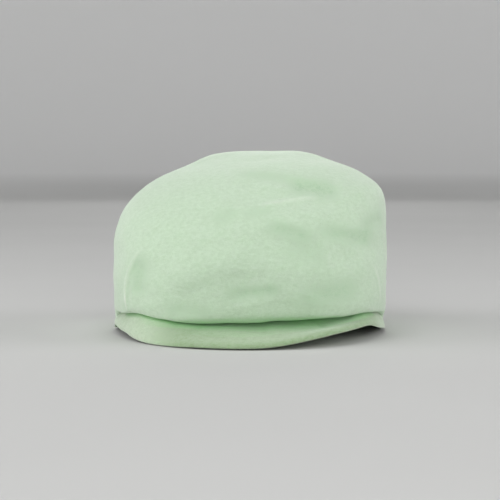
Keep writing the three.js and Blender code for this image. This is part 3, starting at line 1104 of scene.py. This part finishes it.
def brushed_cloth(name, pale, deep, back, evenly):
    """Matte cloth with a short brushed nap, with painted shade and painted highlight from the marks on its
    points.
    """
    cloth = bpy.data.materials.new(name)
    cloth.use_nodes = True
    nodes, links = cloth.node_tree.nodes, cloth.node_tree.links
    shader = nodes["Principled BSDF"]
    for socket, value in CLOTH_FINISH.items():
        shader.inputs[socket].default_value = value
    nap = nap_grain(nodes, links)
    tone = nodes.new("ShaderNodeValToRGB")
    for stop, position, colour in zip(tone.color_ramp.elements, TONES_BETWEEN, (deep, pale)):
        stop.position = position
        stop.color = (*colour, 1)
    links.new(nap, tone.inputs["Fac"])
    # painted shade in the hollows and on the peak: the back colour, mixed in by a mark
    stroke = tufted(nodes, links, marked(nodes, "painted_shade"), nap, evenly)
    colour = tinted(nodes, links, tone.outputs["Color"], stroke, back)
    # painted shade in the crease, mixed in by the sheltered mark
    colour = tinted(nodes, links, colour, marked(nodes, "sheltered"), PAINTED_CREASE_SHADE)
    # painted highlight on the darts and the crest, mixed in by the pale mark
    colour = tinted(nodes, links, colour, marked(nodes, "pale"), PAINTED_HIGHLIGHT)
    links.new(colour, shader.inputs["Base Color"])
    rough = nodes.new("ShaderNodeMapRange")
    rough.inputs["To Min"].default_value = SMOOTHEST
    rough.inputs["To Max"].default_value = ROUGHEST
    links.new(nap, rough.inputs["Value"])
    links.new(rough.outputs["Result"], shader.inputs["Roughness"])
    bump = nodes.new("ShaderNodeBump")
    bump.inputs["Strength"].default_value = NAP_BUMP
    bump.inputs["Distance"].default_value = NAP_HEIGHT
    links.new(nap, bump.inputs["Height"])
    links.new(bump.outputs["Normal"], shader.inputs["Normal"])
    return cloth


cloths = {name: brushed_cloth(name, **dict(zip(CLOTH_COLUMNS, row))) for name, row in CLOTHS.items()}
for panel in panels.values():
    panel.data.materials.append(cloths["brushed_cloth"])
peak.data.materials.append(cloths["peak_cloth"])
print("cloth:", *cloths)

# %% [markdown]
# ## Fastening the pieces
# Every dressed piece stands in for one solid of the frame, rides on the same body and wears that solid's
# kind of cloth. The cap has no hinge, so all four ride on the one body.

# %% Fasten the pieces
for node, panel in panels.items():
    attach(panel, "root")
    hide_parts(node)
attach(peak, "root")
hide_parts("peak")

# %% [markdown]
# ## The studio
# The cap stands on a plain pale floor that curves up all round into a low wall, so that every side has a
# calm background with no horizon line. A flat plane would do for the floor alone. The bowl is one profile
# turned about the upright axis.

# %% Floor and wall in one bowl
FLOOR_RADIUS = 2.6
FLOOR_RINGS = (0.4, 1.2)
COVE_RADIUS = 0.9
COVE_STEPS = 15
WALL_TOP = 1.6
TURNS = 96


def studio_bowl():
    """A round floor with a coved wall, as one sheet."""
    bend = [math.radians(90 / COVE_STEPS * k) for k in range(COVE_STEPS + 1)]
    cove = [(FLOOR_RADIUS + COVE_RADIUS * math.sin(a), COVE_RADIUS * (1 - math.cos(a))) for a in bend]
    profile = [(ring, 0.0) for ring in FLOOR_RINGS] + cove + [(FLOOR_RADIUS + COVE_RADIUS, WALL_TOP)]
    points = [(0.0, 0.0, 0.0)]
    faces = []
    for k in range(TURNS):
        a = 2 * math.pi * k / TURNS
        points += [(r * math.cos(a), r * math.sin(a), z) for r, z in profile]
    row = len(profile)
    for k in range(TURNS):
        here, there = 1 + k * row, 1 + ((k + 1) % TURNS) * row
        faces.append((0, here, there))
        faces += [(here + j, here + j + 1, there + j + 1, there + j) for j in range(row - 1)]
    mesh = bpy.data.meshes.new("studio_floor")
    mesh.from_pydata(points, [], faces)
    mesh.shade_smooth()
    floor = placed("studio_floor", mesh)
    return floor


floor = studio_bowl()
print("floor", round(2 * (FLOOR_RADIUS + COVE_RADIUS), 2), "m across")

# %% [markdown]
# The paper of the floor is matte and nearly even, with a faint cloud in its tone. Less light reaches the
# wall than the floor, so the paper gets paler as it climbs. More lamps on the wall would do that too, but
# they would also shine on the cap.

# %% Paper of the floor
PAPER_TONES = ((0.60, 0.60, 0.59), (0.64, 0.64, 0.63))
PAPER_PALEST = (0.95, 0.95, 0.945)
PALEST_AT = 0.05
PALEST_SHARE = 0.9
PAPER_CLOUDS = 3.0


def paper_finish():
    """Matte paper with a faint cloud in it, paler where it climbs."""
    paper = bpy.data.materials.new("studio_paper")
    paper.use_nodes = True
    nodes, links = paper.node_tree.nodes, paper.node_tree.links
    shader = nodes["Principled BSDF"]
    shader.inputs["Roughness"].default_value = 0.9
    shader.inputs["Specular IOR Level"].default_value = 0.2
    place = nodes.new("ShaderNodeTexCoord")
    mottle = nodes.new("ShaderNodeTexNoise")
    mottle.inputs["Scale"].default_value = PAPER_CLOUDS
    links.new(place.outputs["Object"], mottle.inputs["Vector"])
    tone = nodes.new("ShaderNodeValToRGB")
    for stop, colour in zip(tone.color_ramp.elements, PAPER_TONES):
        stop.color = (*colour, 1)
    links.new(mottle.outputs["Fac"], tone.inputs["Fac"])
    height = nodes.new("ShaderNodeSeparateXYZ")
    links.new(place.outputs["Object"], height.inputs["Vector"])
    climb = nodes.new("ShaderNodeMapRange")
    climb.inputs["From Max"].default_value = PALEST_AT
    climb.inputs["To Max"].default_value = PALEST_SHARE
    links.new(height.outputs["Z"], climb.inputs["Value"])
    paler = tinted(nodes, links, tone.outputs["Color"], climb.outputs["Result"], PAPER_PALEST)
    links.new(paler, shader.inputs["Base Color"])
    return paper


floor.data.materials.append(paper_finish())
print("paper on the floor is palest from", round(PALEST_AT / MM), "mm up")

# %% [markdown]
# ## Light
# Large soft boxes light the cap from above and from all sides, the left a little stronger than the right,
# so that the folds show as broad soft shades. One small lamp would draw hard shadows. The air of the room
# fills what the boxes leave. A row gives the place of a box in metres and its watts.

# %% Soft lights
LIGHT_COLUMNS = ("across", "along", "up", "watts")
LIGHTS = {
    "upper_left": (-1.3, -1.5, 2.1, 13.0),
    "overhead": (0.0, 0.2, 2.3, 15.0),
    "front": (0.0, -2.4, 0.9, 27.0),
    "left": (-2.2, -0.3, 0.9, 22.0),
    "right": (2.2, -0.3, 0.9, 21.5),
    "behind": (0.0, 2.3, 1.1, 6.0),
}
SOFT_BOX = 1.6
AIR = 0.06
AIR_TINT = (0.95, 0.98, 1.0)
AIM = Vector((0.0, 0.0, 0.055))


def turned_to_cap(thing, place):
    thing.location = place
    thing.rotation_euler = (AIM - thing.location).to_track_quat("-Z", "Y").to_euler()


def soft_light(name, across, along, up, watts):
    """A square soft box turned to the cap."""
    box = bpy.data.lights.new(name, "AREA")
    box.shape = "SQUARE"
    box.size = SOFT_BOX
    box.energy = watts
    turned_to_cap(placed(name, box), (across, along, up))


for name, row in LIGHTS.items():
    soft_light(name, **dict(zip(LIGHT_COLUMNS, row)))

world = bpy.data.worlds.new("studio_air")
bpy.context.scene.world = world
world.use_nodes = True
air = world.node_tree.nodes["Background"]
air.inputs["Color"].default_value = (*AIR_TINT, 1)
air.inputs["Strength"].default_value = AIR
bpy.context.scene.view_settings.view_transform = "Standard"
print(len(LIGHTS), "soft lights")

# %% [markdown]
# ## Camera
# The picture is taken from straight in front, a little above the floor. A short lens close by would make
# the peak loom, so a long lens from further off is used, and the cap shows almost without perspective.

# %% Camera
CAMERA_DISTANCE = 1.3
CAMERA_ELEVATION = math.radians(3.6)
PICTURE_WIDTH = 0.354
SENSOR = 36.0

camera_data = bpy.data.cameras.new("photo_camera")
camera_data.sensor_width = SENSOR
camera_data.lens = SENSOR * CAMERA_DISTANCE / PICTURE_WIDTH
camera = placed("photo_camera", camera_data)
towards_camera = Vector((0.0, -math.cos(CAMERA_ELEVATION), math.sin(CAMERA_ELEVATION)))
turned_to_cap(camera, AIM + CAMERA_DISTANCE * towards_camera)
bpy.context.scene.camera = camera
print("lens", round(camera_data.lens, 1), "mm")
